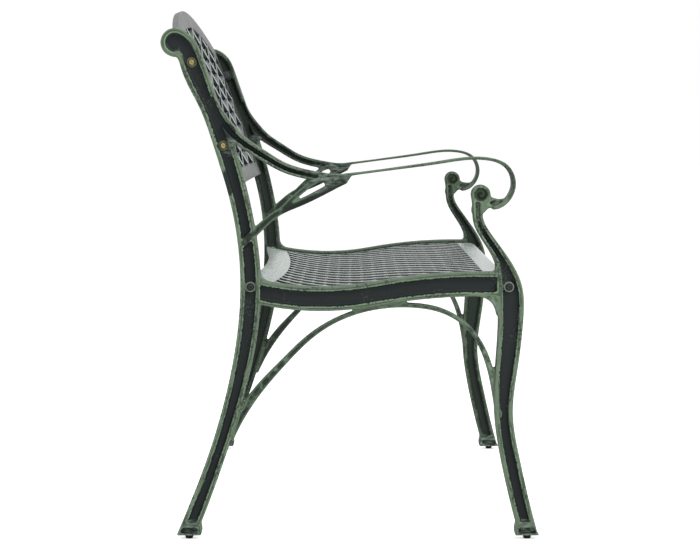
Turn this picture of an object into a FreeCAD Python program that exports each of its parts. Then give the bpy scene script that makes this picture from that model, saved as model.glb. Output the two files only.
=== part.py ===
import FreeCAD, Part
import math
import os

Vector = FreeCAD.Vector

# Cast aluminium garden bench for two, bolted together from two end frames, a seat and a backrest.
# +X runs along the bench, -Y is the front, +Z is up. The origin is on the ground under the middle.
# An end frame is drawn flat in the YZ plane and has the same profile on both ends.

SIZES = {
    # whole bench
    "bench_length": (1020, "over the armrests"),
    "arm_width": (40, "armrest strip, across"),
    "frame_thickness": (30, "end frame casting, across its rims"),
    "web_thickness": (12, "end frame casting, between its recesses"),
    "rim_width": (7.5, "raised rim round a recess"),
    "arch_width": (18, "arch brace, across"),
    # feet
    "glide_height": (6, "ground to underside of a foot"),
    "glide_diameter": (14, "top of a glide"),
    "glide_tip_diameter": (11, "bottom of a glide"),
    "stem_diameter": (8, "glide stem"),
    "stem_length": (16, "glide stem"),
    "stem_clearance": (0.15, "all round a glide stem"),
    "stem_room": (1, "above a glide stem in its foot"),
    "rear_foot_reach": (251, "middle of the rear foot, behind the bench middle"),
    "front_foot_reach": (276.5, "middle of the front foot, before the bench middle"),
    "foot_length": (38, "foot block, front to back"),
    "foot_height": (18, "foot block"),
    # fixings, which also place the members that they pass through
    "rear_bolt_reach": (154, "rear seat bolt"),
    "front_bolt_reach": (246, "front seat bolt"),
    "low_bolt_height": (612, "lower backrest bolt"),
    "low_bolt_reach": (195.5, "lower backrest bolt"),
    "top_bolt_height": (740, "upper backrest bolt"),
    "top_bolt_reach": (243.5, "upper backrest bolt"),
    "bolt_diameter": (6, "shank"),
    "bolt_length": (40, "shank"),
    "bolt_head_diameter": (10.5, "button head"),
    "bolt_head_height": (3.3, "button head"),
    "socket_width": (4, "hexagon socket, corner to corner"),
    "socket_depth": (2, "hexagon socket"),
    "hole_clearance": (0.4, "all round a shank in the frame"),
    "thread_clearance": (0.1, "all round a shank in a lug"),
    "washer_diameter": (16, "flat washer"),
    "washer_thickness": (1.6, "flat washer"),
    "washer_room": (0.5, "all round a washer on its seat"),
    "boss_diameter": (22, "seat for a lug on the inner face of a frame"),
    "seat_boss_reach": (10, "outer face of a seat bolt's boss, from the frame's mid-plane"),
    # end frame members
    "back_scroll_radius": (22, "rolled top of the back post"),
    "arm_scroll_height": (537, "middle of the arm scroll"),
    "arm_scroll_reach": (202, "middle of the arm scroll"),
    "arm_scroll_radius": (15, "arm scroll"),
    "arm_curl_radius": (37.5, "armrest strip round the arm scroll"),
    "bracket_height": (566, "front end of the arm"),
    "bracket_reach": (2, "front end of the arm"),
    "post_width": (31.2, "back post at the seat"),
    "knee_width": (38, "front leg at its bolt"),
    "rail_depth": (37.5, "seat side rail"),
    # seat
    "seat_height": (394, "lowest point of the rail's top edge, and both seat bolts"),
    "seat_low_reach": (45, "lowest point of the rail's top edge"),
    "seat_crest_rise": (23, "highest point of the rail's top edge, above the lowest"),
    "seat_crest_reach": (205, "highest point of the rail's top edge"),
    "seat_dish_radius": (450, "hollow of the rail's top edge"),
    "seat_sink": (5.5, "seat surface below the rail's top edge"),
    "seat_thickness": (9, "seat casting"),
    "seat_gap": (0.6, "seat edge to end frame"),
    "front_edge_reach": (251, "front edge of the seat"),
    "front_roll_radius": (15, "rounded front edge"),
    "front_strip": (40, "plain strip along the front"),
    "rear_edge_reach": (165, "rear edge of the seat at its ends"),
    "rear_bow": (18, "rear edge, nearer the front at mid-length"),
    "rear_strip": (40, "plain strip along the rear"),
    "side_strip": (16, "plain strip along an end frame"),
    "seat_pitch_along": (60, "lattice, along the bench"),
    "seat_pitch_across": (40, "lattice, front to back"),
    "seat_bar": (9, "lattice bar, across"),
    "seat_bar_depth": (5, "lattice bar, from its top"),
    "seat_bar_sink": (0.5, "upper bars below the plain strips"),
    "seat_layer_step": (2.5, "lower bars below the upper bars"),
    "seat_lug_diameter": (19, "tapped lug under the seat"),
    "lug_length": (26, "tapped lug on a panel"),
    "lug_floor": (4, "closed end of a tapped lug"),
    # backrest, measured along its own slope from the lower bolt
    "back_thickness": (10, "backrest casting"),
    "back_bow": (2, "backrest, further back at mid-length"),
    "back_setback": (3, "front face behind the bolts, at the ends"),
    "back_rail_drop": (67, "lower edge below the lower bolt"),
    "back_rail_depth": (25, "bottom rail"),
    "crest_top": (246, "highest point above the lower bolt"),
    "crest_rise": (56, "arch of the crest"),
    "crest_depth": (30, "crest band"),
    "stile_width": (18, "side of the backrest"),
    "back_pitch_along": (182.5, "lattice, along the bench"),
    "back_pitch_up": (50.75, "lattice, up the slope"),
    "back_bar": (8, "lattice bar, across"),
    "back_bar_depth": (8.2, "lattice bar, from its front"),
    "back_bar_sink": (0.8, "front bars behind the plain border"),
    "back_layer_step": (0.8, "rear bars behind the front bars"),
    "back_lug_diameter": (14, "tapped lug on the backrest"),
}

doc = FreeCAD.newDocument("garden_bench")
sheet = doc.addObject("Spreadsheet::Sheet", "sizes")
for row, (alias, (value, meaning)) in enumerate(SIZES.items(), 1):
    sheet.set(f"A{row}", alias)
    sheet.set(f"B{row}", str(value))
    sheet.set(f"C{row}", meaning)
    sheet.setAlias(f"B{row}", alias)
doc.recompute()


def size(alias):
    """A driving dimension, read from the sheet."""
    return float(sheet.get(alias))


def anchor(reach, height):
    """A point of the end frame's profile; a front reach is given as a negative number."""
    return Vector(0, reach, height)


def station(base, back, up, width):
    """A point of a member's centre line, set out from an anchor, with the member's width there."""
    return base + Vector(0, back, up), width


def add(kind, name, **values):
    """A document object; text values are expressions on the sheet, other values are set as they are."""
    item = doc.addObject(kind, name)
    for key, value in values.items():
        if isinstance(value, str):
            item.setExpression(key, value)
        else:
            setattr(item, key, value)
    return item


def drawn(name, shape):
    """A flat profile as a document object."""
    item = doc.addObject("Part::Feature", name)
    item.Shape = shape
    return item


# Flat profiles

def segment(start, end):
    return Part.LineSegment(start, end).toShape()


def arc(start, middle, end):
    return Part.Arc(start, middle, end).toShape()


def spline(points):
    curve = Part.BSplineCurve()
    curve.interpolate(points)
    return curve.toShape()


def face(edges):
    return Part.Face(Part.Wire(edges))


def polygon(points):
    return Part.Face(Part.makePolygon(points + points[:1]))


def disc(centre, radius):
    return face([Part.Circle(centre, Vector(1, 0, 0), radius).toShape()])


def joined(faces):
    """One face from faces that overlap, which are turned the same way first."""
    turned = [item if item.normalAt(0, 0).x > 0 else item.reversed() for item in faces]
    return Part.makeShell(turned[0].fuse(turned[1:]).Faces).removeSplitter()


def member(stations, rim=0.0, close_end=True):
    """A flat member that swells and tapers along its centre line.

    With a rim, the outline is drawn in by that much all round, but by no more than a share of
    a slim member's width, which gives the recess that the rim goes round.
    """
    slim_share = 0.3
    centre = Part.BSplineCurve()
    centre.interpolate([place for place, width in stations])
    left = []
    right = []
    last = len(stations) - 1
    for index, (place, width) in enumerate(stations):
        along = centre.tangent(centre.parameter(place))[0]
        across = Vector(0, -along.z, along.y)
        inset = min(rim, slim_share * width)
        if index == 0:
            place = place + along * inset
        if index == last and close_end:
            place = place - along * inset
        left.append(place + across * (width / 2 - inset))
        right.append(place - across * (width / 2 - inset))
    return face([spline(left), segment(left[-1], right[-1]),
                 spline(right[::-1]), segment(right[0], left[0])])


def corner(point, first, second, radius):
    """Material that rounds the inner corner between two edges, which leave it along two directions."""
    overlap = 3.0
    first = Vector(first).normalize()
    second = Vector(second).normalize()
    half = first.getAngle(second) / 2
    reach = radius / math.tan(half)
    middle = Vector(first + second).normalize()
    crown = point + middle * (radius / math.sin(half) - radius)
    start = point + first * reach
    end = point + second * reach
    inside = point - middle * overlap
    return face([segment(inside, start), arc(start, crown, end), segment(end, inside)])


# Seat line: a hollow towards the back that runs smoothly into a crest at the front

seat_run = size("seat_low_reach") + size("seat_crest_reach")
seat_rise = size("seat_crest_rise")
seat_turn = 2 * math.atan(seat_rise / seat_run)
dish_radius = size("seat_dish_radius")
crest_radius = seat_run / math.sin(seat_turn) - dish_radius
seat_bend_y = size("seat_low_reach") - dish_radius * math.sin(seat_turn)


def seat_height(y):
    """Height of the rail's top edge."""
    if y > seat_bend_y:
        fall = dish_radius - math.sqrt(dish_radius ** 2 - (y - size("seat_low_reach")) ** 2)
        return size("seat_height") + fall
    fall = crest_radius - math.sqrt(crest_radius ** 2 - (y + size("seat_crest_reach")) ** 2)
    return size("seat_height") + seat_rise - fall


def seat_line(lift, rear, front):
    """The hollow and the crest as two arcs, from the rear to the front, lifted by some amount."""
    edges = []
    for start, end in ((rear, seat_bend_y), (seat_bend_y, front)):
        ys = (start, (start + end) / 2, end)
        edges.append(arc(*[Vector(0, y, seat_height(y) + lift) for y in ys]))
    return edges


def between(upper, lower):
    """A face between two runs of edges that go the same way."""
    start = segment(lower[0].firstVertex().Point, upper[0].firstVertex().Point)
    end = segment(upper[-1].lastVertex().Point, lower[-1].lastVertex().Point)
    return Part.Face(Part.Wire(Part.__sortEdges__([start, *upper, end, *lower])))


# Anchors of the end frame's profile, and the widths that its members share

rear_foot = anchor(size("rear_foot_reach"), size("glide_height"))
front_foot = anchor(-size("front_foot_reach"), size("glide_height"))
rear_bolt = anchor(size("rear_bolt_reach"), size("seat_height"))
front_bolt = anchor(-size("front_bolt_reach"), size("seat_height"))
low_bolt = anchor(size("low_bolt_reach"), size("low_bolt_height"))
top_bolt = anchor(size("top_bolt_reach"), size("top_bolt_height"))
bracket = anchor(-size("bracket_reach"), size("bracket_height"))
arm_scroll = anchor(-size("arm_scroll_reach"), size("arm_scroll_height"))
rim = size("rim_width")

# Back post and rear leg, one sweep from the heel to the rolled top
back_scroll = top_bolt + Vector(0, 25.5, 30.5)
post = [
    station(rear_foot, 10, -14, 28),
    station(rear_foot, -4, 19, 28),
    station(rear_foot, -40, 113, 26),
    station(rear_bolt, 22.8, -162, 28),
    station(rear_bolt, 0, 0, size("post_width")),
    station(low_bolt, -24.8, -83, 29),
    station(low_bolt, -1, 0, 30),
    station(low_bolt, 22.5, 64.5, 29.5),
    station(top_bolt, 0, 0, 36),
    station(top_bolt, 9.5, 20.5, 38),
    (back_scroll, 2 * size("back_scroll_radius")),
]

# Cabriole front leg, its knee at the seat and the S-shaped post above it
front_leg = [
    station(front_foot, -6, -14, 28.6),
    station(front_foot, 6, 29, 28.6),
    station(front_foot, 25.8, 113, 28.8),
    station(front_bolt, 7.3, -194, 28.5),
    station(front_bolt, 2, -116, 35),
    station(front_bolt, -3.2, -49, 38.5),
    station(front_bolt, -1.5, -2, size("knee_width")),
    station(front_bolt, 12, 42, 22),
    station(arm_scroll, -8, -64, 17),
    station(arm_scroll, 3.6, -40, 15.5),
    station(arm_scroll, 5, -21, 15),
    station(arm_scroll, 4, -5, 21),
]

# Arm, which leaves the front of the post and sweeps down to a bracket
arm = [
    station(low_bolt, 17, 78, 10),
    station(low_bolt, 7.5, 50, 16),
    station(low_bolt, -8, 25.5, 21),
    station(low_bolt, -28, 6.5, 18),
    station(low_bolt, -56.5, -12, 16),
    station(bracket, 106.5, 13.5, 15),
    station(bracket, 64.5, 1, 14.5),
    station(bracket, 22, -5.5, 13),
]
bracket_corners = [(32, 2.5), (0, 2), (0, -1), (7, -12), (19, -18), (38, -25), (42, -10)]

# Forked brace from the bracket to the back of the post
strap = [
    station(rear_bolt, 16, 64, 12),
    station(rear_bolt, -14, 91, 12),
    station(bracket, 112.2, -56.8, 10.5),
    station(bracket, 81.6, -43, 10.5),
    station(bracket, 45.8, -25.5, 11.5),
    station(bracket, 16, -9, 12),
]
fork = [
    station(bracket, 118, -64, 7),
    station(bracket, 99.5, -44.5, 8),
    station(bracket, 78.5, -25.5, 8),
    station(bracket, 52, -7.5, 8),
    station(bracket, 38, -4, 8),
]

# Arch brace between the legs, which touches the rail at its crown
arch_thickness = 7
crown_y = -46
crown_overlap = 0.5
crown_z = seat_height(crown_y) - size("rail_depth") - arch_thickness / 2 + crown_overlap
crown = Vector(0, crown_y, crown_z)
arch = [
    station(rear_bolt, 33, -240, 10),
    station(rear_bolt, -17.2, -154.2, 13),
    station(rear_bolt, -51.2, -117.2, 10),
    station(rear_bolt, -90, -79.5, 8.5),
    station(crown, 68, -21, arch_thickness),
    station(crown, 0, 0, arch_thickness),
    station(crown, -54, 2, arch_thickness),
    station(crown, -93, -5, arch_thickness),
    station(front_bolt, 64, -62, arch_thickness),
    station(front_bolt, 37, -103, 9),
    station(front_bolt, 24.5, -144, 9.5),
    station(front_bolt, 14.5, -204, 9.5),
]

# Armrest strip, which thickens as it curls round the scroll
curl = arm_scroll + Vector(0, -13, 16.8)


def on_curl(degrees, inset=0.0):
    """A point of the curl; the angle starts at the top and goes round by the front."""
    turn = math.radians(degrees)
    return curl + Vector(0, -math.sin(turn), math.cos(turn)) * (size("arm_curl_radius") - inset)


strip = [
    station(bracket, 14, 0, 5),
    station(bracket, -16, 4, 3.6),
    station(bracket, -75, 11.7, 3.8),
    station(bracket, -138, 20.6, 4.2),
    (on_curl(0), 4.8),
    (on_curl(45), 5.4),
    (on_curl(90), 6.2),
    (on_curl(135), 7),
    (on_curl(172), 7),
]
bowl = face([spline([on_curl(125), arm_scroll + Vector(0, -26, -7), arm_scroll + Vector(0, -12, -2)]),
             segment(arm_scroll + Vector(0, -12, -2), arm_scroll),
             segment(arm_scroll, on_curl(185)),
             arc(on_curl(185), on_curl(155), on_curl(125))])
leaf_tip = arm_scroll + Vector(0, -36, -10)
leaf_root = arm_scroll + Vector(0, -11, -15)
leaf = face([arc(leaf_tip, arm_scroll + Vector(0, -22, -8.5), leaf_root),
             arc(leaf_root, arm_scroll + Vector(0, -22, -16.5), leaf_tip)])
collar = polygon([arm_scroll + Vector(0, y, z) for y, z in ((-7, -28), (14, -28), (14, -21), (-7, -21))])


def scroll_groove():
    """A groove that winds in towards the middle of the arm scroll."""
    turns = 1.4
    steps = 9
    outer_reach = size("arm_scroll_radius") - 5.5
    inner_reach = 2.5
    outer_width = 4.0
    inner_width = 3.0
    stations = []
    for step in range(steps):
        share = step / (steps - 1)
        turn = 2 * math.pi * turns * share - math.pi / 2
        reach = outer_reach + (inner_reach - outer_reach) * share
        width = outer_width + (inner_width - outer_width) * share
        stations.append((arm_scroll + Vector(0, math.cos(turn), -math.sin(turn)) * reach, width))
    return member(stations)


def foot(base, heel):
    """Foot block; heel is 1 where the sloping side of the leg faces the back, -1 where the front."""
    half = size("foot_length") / 2
    top = size("foot_height")
    bulge = 1
    peak = top + 8

    def at(y, z):
        return base + Vector(0, heel * y, z)

    return face([segment(at(half, 0), at(-half, 0)),
                 arc(at(-half, 0), at(-half - bulge, top / 2), at(bulge - half, top)),
                 segment(at(bulge - half, top), at(0, peak)),
                 segment(at(0, peak), at(half, 0))])


def foot_recess(base, heel):
    half = size("foot_length") / 2
    corners = ((half - 4, 3), (-half + 5, 3), (-half + 6, 12), (half - 9, 12))
    return polygon([base + Vector(0, heel * y, z) for y, z in corners])


# Outline and recesses of the end frame

rail_rear = rear_bolt.y - size("post_width") / 2
rail_front = front_bolt.y + size("knee_width") / 2
rail = between(seat_line(0, rear_bolt.y, front_bolt.y),
               seat_line(-size("rail_depth"), rear_bolt.y, front_bolt.y))
rail_recess = between(seat_line(-rim, rail_rear, rail_front),
                      seat_line(rim - size("rail_depth"), rail_rear, rail_front))
up = Vector(0, 0, 1)
back = Vector(0, 1, 0)
rail_corners = [
    corner(Vector(0, rail_rear, seat_height(rail_rear)), Vector(0, 0.06, 1), Vector(0, -1, -0.2), 18),
    corner(Vector(0, rail_front, seat_height(rail_front) - size("rail_depth")), back, -up, 31),
    corner(Vector(0, rail_front - 2, seat_height(rail_front)), back, Vector(0, 0.5, 0.85), 5),
]
washer_seat_radius = size("washer_diameter") / 2 + size("washer_room")
washer_seats = [disc(middle, washer_seat_radius) for middle in (low_bolt, top_bolt)]
rib_width = 6
junction_rib = member([station(low_bolt, -34, -8, rib_width), (low_bolt, rib_width)]).cut(washer_seats)

ground_depth = 100


def everything_below(height):
    """A flat stretch of the profile's plane, for cutting off what reaches below a height."""
    reach = 2 * size("front_foot_reach")
    corners = ((-reach, -ground_depth), (reach, -ground_depth), (reach, height), (-reach, height))
    return polygon([Vector(0, y, z) for y, z in corners])


outline = joined([
    member(post), disc(back_scroll, size("back_scroll_radius")),
    member(front_leg), disc(arm_scroll, size("arm_scroll_radius")), bowl, collar,
    member(arm), polygon([bracket + Vector(0, y, z) for y, z in bracket_corners]),
    rail, *rail_corners,
    foot(rear_foot, 1), foot(front_foot, -1),
]).cut(everything_below(rear_foot.z))
ankle_height = 3
ankles = everything_below(rear_foot.z + size("foot_height") + ankle_height)
back_recess = joined([
    member(post, rim, close_end=False), disc(back_scroll, size("back_scroll_radius") - rim),
    member(arm, rim), *washer_seats,
])
recess = Part.makeCompound([
    back_recess.cut([junction_rib, ankles]), member(front_leg, rim).cut(ankles), rail_recess,
    leaf, scroll_groove(), foot_recess(rear_foot, 1), foot_recess(front_foot, -1),
])


# End frames: a plate with recesses on both faces, the strip, the braces and the seats for the lugs

ACROSS = FreeCAD.Rotation(Vector(0, 1, 0), 90)
HALF_SPAN = "(sizes.bench_length - sizes.arm_width) / 2"
INNER_FACE = f"({HALF_SPAN} - sizes.frame_thickness / 2)"


def across_bench(name, shape, width):
    """A profile made as wide as the sheet says, evenly to both sides of its plane."""
    return add("Part::Extrusion", name, Base=drawn(name + "_profile", shape), Dir=Vector(1, 0, 0),
               LengthFwd=width, Solid=True, Symmetric=True)


def recess_on(face_name, shape, direction):
    """A profile to cut from one face of an end frame, down to its web."""
    item = add("Part::Extrusion", f"recess_{face_name}", Base=drawn(f"recess_{face_name}_profile", shape),
               Dir=Vector(direction, 0, 0), LengthFwd="sizes.frame_thickness", Solid=True)
    item.setExpression("Placement.Base.x", f"{direction} * sizes.web_thickness / 2")
    return item


def pin(name, middle, radius, start, length):
    """A round pin along the bench; it starts at a place on X and runs towards +X."""
    item = add("Part::Cylinder", name, Radius=radius, Height=length)
    item.Placement = FreeCAD.Placement(middle, ACROSS)
    item.setExpression("Placement.Base.x", start)
    return item


def fused(name, items):
    return add("Part::MultiFuse", name, Shapes=items, Refine=True)


def cut(name, base, tool):
    return add("Part::Cut", name, Base=base, Tool=tool, Refine=True)


bolts = {"rear": rear_bolt, "front": front_bolt, "low": low_bolt, "top": top_bolt}
feet = {"rear": rear_foot, "front": front_foot}

frame_recesses = add("Part::Compound", "frame_recesses",
                     Links=[recess_on("outer", recess, -1), recess_on("inner", recess, 1)])
frame_body = fused("frame_body", [
    cut("frame_plate", across_bench("frame_outline", outline, "sizes.frame_thickness"), frame_recesses),
    across_bench("armrest_strip", member(strip), "sizes.arm_width"),
    across_bench("arm_brace", joined([member(strap), member(fork)]), "sizes.frame_thickness"),
    across_bench("arch_brace", member(arch), "sizes.arch_width"),
])
bosses = []
drillings = []
for name, middle in bolts.items():
    bosses.append(pin(f"inner_boss_{name}", middle, "sizes.boss_diameter / 2", "0 mm",
                      "sizes.frame_thickness / 2"))
    drillings.append(pin(f"bolt_hole_{name}", middle, "sizes.bolt_diameter / 2 + sizes.hole_clearance",
                         "-sizes.frame_thickness", "2 * sizes.frame_thickness"))
for name in ("rear", "front"):
    bosses.append(pin(f"outer_boss_{name}", bolts[name], "sizes.washer_diameter / 2 + sizes.washer_room",
                      "-sizes.seat_boss_reach", "sizes.seat_boss_reach"))
for name, base in feet.items():
    socket = add("Part::Cylinder", f"glide_socket_{name}", Height="sizes.stem_length + sizes.stem_room",
                 Radius="sizes.stem_diameter / 2 + sizes.stem_clearance")
    socket.Placement.Base = base
    drillings.append(socket)

frame_casting = fused("frame_casting", [frame_body, *bosses])
frame_drilling = add("Part::Compound", "frame_drilling", Links=drillings)
left_frame = cut("left_end_frame", frame_casting, frame_drilling)
left_frame.setExpression("Placement.Base.x", f"-{HALF_SPAN}")
right_frame = add("Part::Mirroring", "right_end_frame", Source=left_frame, Normal=Vector(1, 0, 0))


# Lattice panels: a plain border and two layers of slanting bars, which cross and run into it

panel_half = (size("bench_length") - size("arm_width") - size("frame_thickness")) / 2 - size("seat_gap")


def bars(field, across, pitch_along, pitch_across, slant, width):
    """Parallel bars over a flat field; a slant of 1 rises with +X and one of -1 falls."""
    box = field.BoundBox
    run = (Vector(pitch_along, 0, 0) + across * (slant * pitch_across)).normalize()
    half_length = run * box.DiagonalLength
    half_width = (across * run.x - Vector(run.dot(across), 0, 0)) * (width / 2)
    corners = (-half_length - half_width, half_length - half_width,
               half_length + half_width, half_width - half_length)
    depth = max(box.YLength, box.ZLength)
    count = math.ceil(box.XLength / pitch_along / 2 + depth / pitch_across / 2)
    strips = []
    for index in range(-count, count):
        middle = box.Center + Vector((index + 0.5) * pitch_along, 0, 0)
        strips.append(polygon([middle + corner_reach for corner_reach in corners]))
    return Part.makeCompound(strips).common(field)


def layer(name, sheet_body, shape, direction, reach):
    """The stretch of a sheet that lies over a flat shape."""
    prism = add("Part::Extrusion", name + "_prism", Base=drawn(name + "_plan", shape), Dir=direction,
                LengthFwd=reach, LengthRev=reach, Solid=True)
    return add("Part::Common", name, Base=sheet_body, Tool=prism)


def lugs(panel, middles):
    """Tapped lugs at both ends of a panel, flush with the end frames' inner faces."""
    radius = f"sizes.{panel}_lug_diameter / 2"
    tap_radius = "sizes.bolt_diameter / 2 + sizes.thread_clearance"
    tap_length = "(sizes.lug_length - sizes.lug_floor)"
    bodies = []
    taps = []
    for name, middle in middles.items():
        for side, lug_start, tap_start in (
                ("left", f"-{INNER_FACE}", f"-{INNER_FACE}"),
                ("right", f"{INNER_FACE} - sizes.lug_length", f"{INNER_FACE} - {tap_length}")):
            bodies.append(pin(f"{panel}_lug_{side}_{name}", middle, radius, lug_start, "sizes.lug_length"))
            taps.append(pin(f"{panel}_tap_{side}_{name}", middle, tap_radius, tap_start, tap_length))
    return bodies, add("Part::Compound", f"{panel}_taps", Links=taps)


# Seat panel: a dished sheet with a rounded front edge

def seat_plan(share):
    """The seat from above; a share of 1 takes its plain strips off all round, 0 leaves them on."""
    half = panel_half - share * size("side_strip")
    rear = size("rear_edge_reach") - share * size("rear_strip")
    front = share * size("front_strip") - size("front_edge_reach")
    ends = [Vector(-half, rear, 0), Vector(half, rear, 0), Vector(half, front, 0), Vector(-half, front, 0)]
    bowed = arc(ends[0], Vector(0, rear - size("rear_bow"), 0), ends[1])
    return face([bowed, segment(ends[1], ends[2]), segment(ends[2], ends[3]), segment(ends[3], ends[0])])


def quarter_turn(centre, radius):
    """The rounded front edge, from its top to its foremost point."""
    slant = radius * math.sqrt(0.5)
    return arc(centre + Vector(0, 0, radius), centre + Vector(0, -slant, slant),
               centre - Vector(0, radius, 0))


def seat_band(top, depth):
    """A band of the seat's section, from some way below its surface."""
    lift = -size("seat_sink") - top
    rear = size("rear_edge_reach")
    return between(seat_line(lift, rear, roll_y), seat_line(lift - depth, rear, roll_y))


roll = size("front_roll_radius")
thickness = size("seat_thickness")
roll_y = roll - size("front_edge_reach")
roll_centre = Vector(0, roll_y, seat_height(roll_y) - size("seat_sink") - roll)
surface = seat_line(-size("seat_sink"), size("rear_edge_reach"), roll_y)
underside = seat_line(-size("seat_sink") - thickness, size("rear_edge_reach"), roll_y)
seat_profile = between(surface + [quarter_turn(roll_centre, roll)],
                       underside + [quarter_turn(roll_centre, roll - thickness)])

SEAT_LENGTH = f"2 * ({INNER_FACE} - sizes.seat_gap)"
SEAT_REACH = "2 * (sizes.seat_height + sizes.seat_crest_rise)"
bar_tops = {"upper": size("seat_bar_sink"), "lower": size("seat_bar_sink") + size("seat_layer_step")}
seat_border = layer("seat_border", across_bench("seat_sheet", seat_profile, SEAT_LENGTH),
                    seat_plan(0).cut(seat_plan(1)), up, SEAT_REACH)
seat_bars = []
for name, slant in (("upper", 1), ("lower", -1)):
    section = seat_band(bar_tops[name], size("seat_bar_depth"))
    band = across_bench(f"seat_{name}_sheet", section, SEAT_LENGTH)
    plan = bars(seat_plan(0.5), back, size("seat_pitch_along"), size("seat_pitch_across"),
                slant, size("seat_bar"))
    seat_bars.append(layer(f"seat_{name}_bars", band, plan, up, SEAT_REACH))
seat_lugs, seat_taps = lugs("seat", {"rear": rear_bolt, "front": front_bolt})
seat_casting = fused("seat_casting", [seat_border, fused("seat_lattice", seat_bars), *seat_lugs])
seat = cut("seat_panel", seat_casting, seat_taps)


# Backrest panel: drawn upright with its lower bolts on the X axis, then leaned back onto the posts

post_line = top_bolt - low_bolt
lean = math.degrees(math.atan2(post_line.y, post_line.z))
crest_sag = size("crest_rise") / panel_half ** 2


def back_plan(share):
    """The backrest from the front; a share of 1 takes its border off all round, 0 leaves it on."""
    half = panel_half - share * size("stile_width")
    bottom = share * size("back_rail_depth") - size("back_rail_drop")
    top = size("crest_top") - share * size("crest_depth")
    shoulder = top - crest_sag * half ** 2
    ends = [Vector(-half, 0, shoulder), Vector(half, 0, shoulder),
            Vector(half, 0, bottom), Vector(-half, 0, bottom)]
    return face([arc(ends[0], Vector(0, 0, top), ends[1]), segment(ends[1], ends[2]),
                 segment(ends[2], ends[3]), segment(ends[3], ends[0])])


def bowed_line(depth):
    """A line along the panel that bows towards the back."""
    middle = Vector(0, depth + size("back_bow"), 0)
    return [arc(Vector(-panel_half, depth, 0), middle, Vector(panel_half, depth, 0))]


def back_sheet(name, front, depth):
    """A bowed sheet, higher than the backrest, from some way behind its front face."""
    front = size("back_setback") + front
    section = between(bowed_line(front), bowed_line(front + depth))
    return add("Part::Extrusion", name, Base=drawn(name + "_section", section), Dir=up,
               LengthFwd="2 * sizes.crest_top", LengthRev="2 * sizes.back_rail_drop", Solid=True)


BACK_REACH = "2 * (sizes.back_setback + sizes.back_bow + sizes.back_thickness)"
bar_fronts = {"front": size("back_bar_sink"), "rear": size("back_bar_sink") + size("back_layer_step")}
back_border = layer("back_border", back_sheet("back_sheet", 0, size("back_thickness")),
                    back_plan(0).cut(back_plan(1)), back, BACK_REACH)
back_bars = []
for name, slant in (("front", 1), ("rear", -1)):
    band = back_sheet(f"back_{name}_sheet", bar_fronts[name], size("back_bar_depth"))
    plan = bars(back_plan(0.5), up, size("back_pitch_along"), size("back_pitch_up"), slant, size("back_bar"))
    back_bars.append(layer(f"back_{name}_bars", band, plan, back, BACK_REACH))
back_lugs, back_taps = lugs("back", {"low": Vector(), "top": Vector(0, 0, post_line.Length)})
back_casting = fused("back_casting", [back_border, fused("back_lattice", back_bars), *back_lugs])
backrest = cut("backrest_panel", back_casting, back_taps)
backrest.Placement = FreeCAD.Placement(low_bolt, FreeCAD.Rotation(Vector(1, 0, 0), -lean))


# Bolts and washers, set from the outer face of the web or of a boss

def bolt_profile():
    """Half section of a bolt with a low, tapered head; the underside of its head is at the origin."""
    shank = size("bolt_diameter") / 2
    head = size("bolt_head_diameter") / 2
    height = size("bolt_head_height")
    tip = -size("bolt_length")
    shoulder = 0.4 * height
    crown = 0.65 * head
    corners = ((0, tip), (shank, tip), (shank, 0), (head, 0), (head, shoulder), (crown, height), (0, height))
    return polygon([Vector(reach, 0, rise) for reach, rise in corners])


def bolt(name):
    turned = add("Part::Revolution", f"{name}_turned", Source=drawn(f"{name}_profile", bolt_profile()),
                 Axis=Vector(0, 0, 1), Angle=360.0, Solid=True)
    socket = add("Part::Prism", f"{name}_socket", Polygon=6, Circumradius="sizes.socket_width / 2",
                 Height="2 * sizes.socket_depth")
    socket.setExpression("Placement.Base.z", "sizes.bolt_head_height - sizes.socket_depth")
    return cut(name, turned, socket)


def washer(name):
    body = add("Part::Cylinder", f"{name}_disc", Radius="sizes.washer_diameter / 2",
               Height="sizes.washer_thickness")
    hole = add("Part::Cylinder", f"{name}_hole", Radius="sizes.bolt_diameter / 2 + sizes.hole_clearance",
               Height="sizes.washer_thickness")
    return cut(name, body, hole)


def fasten(item, middle, side, seat_reach):
    """Puts a bolt or washer on an end frame; its own Z axis points out of the bench."""
    outward = FreeCAD.Rotation(Vector(0, 1, 0), 90 if side == "right" else -90)
    item.Placement = FreeCAD.Placement(middle, outward)
    sign = "" if side == "right" else "-"
    item.setExpression("Placement.Base.x", f"{sign}({HALF_SPAN} + {seat_reach})")


fasteners = []
for panel, names, seat_reach in (("seat", ("rear", "front"), "sizes.seat_boss_reach"),
                                 ("backrest", ("low", "top"), "sizes.web_thickness / 2")):
    for side in ("left", "right"):
        for name in names:
            ring = washer(f"{panel}_washer_{side}_{name}")
            fasten(ring, bolts[name], side, seat_reach)
            screw = bolt(f"{panel}_bolt_{side}_{name}")
            fasten(screw, bolts[name], side, f"{seat_reach} + sizes.washer_thickness")
            fasteners += [ring, screw]


# Glides, pushed into the feet

glides = []
for side, sign in (("left", "-"), ("right", "")):
    for name, base in feet.items():
        pad = add("Part::Cone", f"glide_pad_{side}_{name}", Radius1="sizes.glide_tip_diameter / 2",
                  Radius2="sizes.glide_diameter / 2", Height="sizes.glide_height")
        stem = add("Part::Cylinder", f"glide_stem_{side}_{name}", Radius="sizes.stem_diameter / 2",
                   Height="sizes.glide_height + sizes.stem_length")
        glide = fused(f"glide_{side}_{name}", [pad, stem])
        glide.Placement.Base = Vector(0, base.y, 0)
        glide.setExpression("Placement.Base.x", f"{sign}{HALF_SPAN}")
        glides.append(glide)


# Build, check and write every sub-part

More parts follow.
